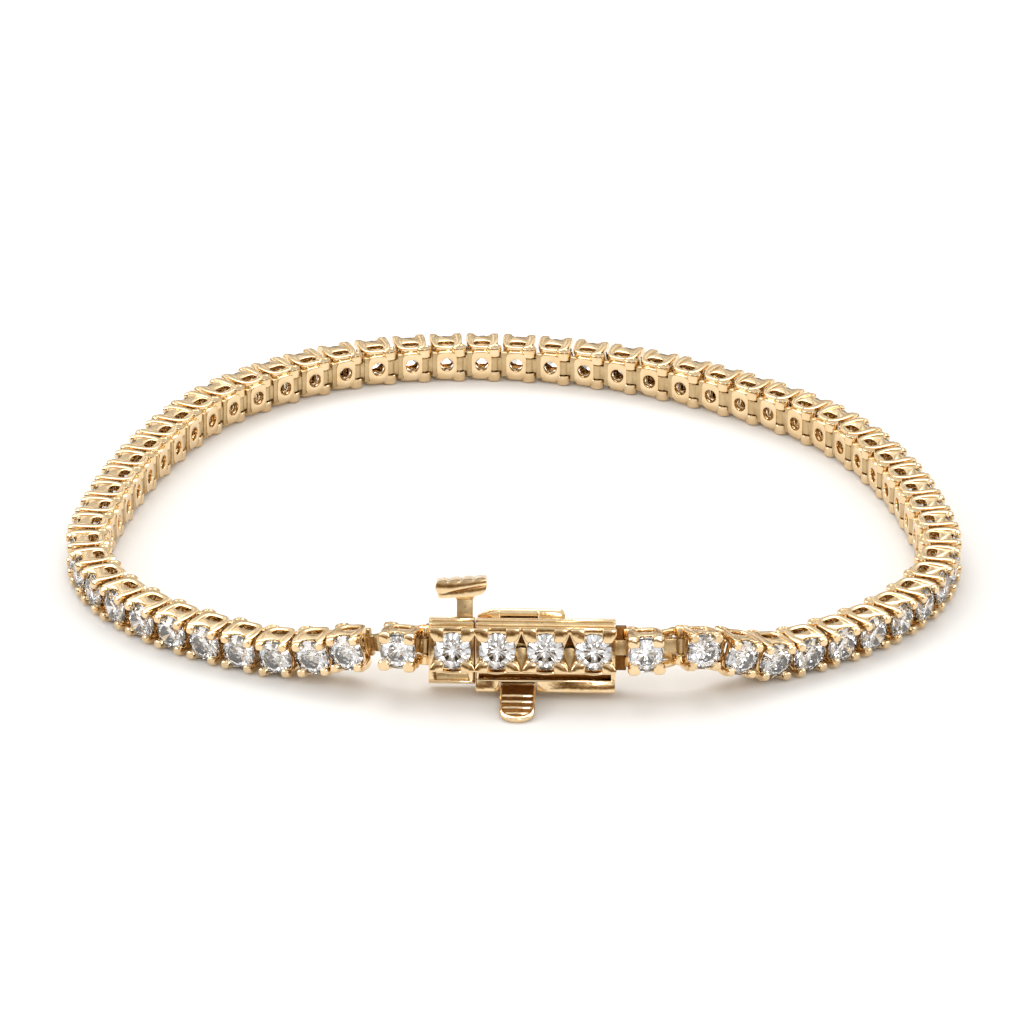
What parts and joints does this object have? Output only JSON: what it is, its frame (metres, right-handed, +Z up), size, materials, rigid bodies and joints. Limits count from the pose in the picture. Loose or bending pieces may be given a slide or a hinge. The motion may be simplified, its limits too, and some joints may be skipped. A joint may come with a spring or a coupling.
{
  "type": "tennis bracelet",
  "caption": "Flexible yellow-gold bracelet of hinged four-prong links with round brilliants, closed by a box clasp with a fold-over safety catch.",
  "frame": {"origin": "middle of the bracelet's box, on the surface that it lies on", "axes": "+Z up, the wrist opening's axis. -Y towards the clasp at the front, +X to the right as seen from the clasp's front"},
  "size_m": [0.0654, 0.059, 0.0084],
  "materials": {
    "gold": "polished yellow gold",
    "diamond": "polished colourless brilliant"
  },
  "bodies": {
    "bracelet": {"chain_right": "gold", "chain_left": "gold", "end_link_right": "gold", "end_link_left": "gold", "clasp_box": "gold", "tongue_housing": "gold", "clasp_stone_1": "diamond", "clasp_stone_2": "diamond", "clasp_stone_3": "diamond", "tongue_stone": "diamond"},
    "spring": {"tongue_spring": "gold", "push_piece": "gold"},
    "catch": {"safety_catch": "gold"}
  },
  "joints": [
    {"name": "catch_hinge", "type": "hinge", "parent": "bracelet", "child": "catch", "pos_m": [0.0004, -0.02325, 0.00505], "axis": [0.9997, -0.0236, 0], "range_deg": [0, 110]},
    {"name": "spring_fold", "type": "hinge", "parent": "bracelet", "child": "spring", "pos_m": [0.00613, -0.02547, 0.00218], "axis": [-0.0228, -0.9657, 0.2588], "range_deg": [0, 6], "stiffness_Nm_per_rad": 0.01, "springref_deg": -5.73}
  ]
}
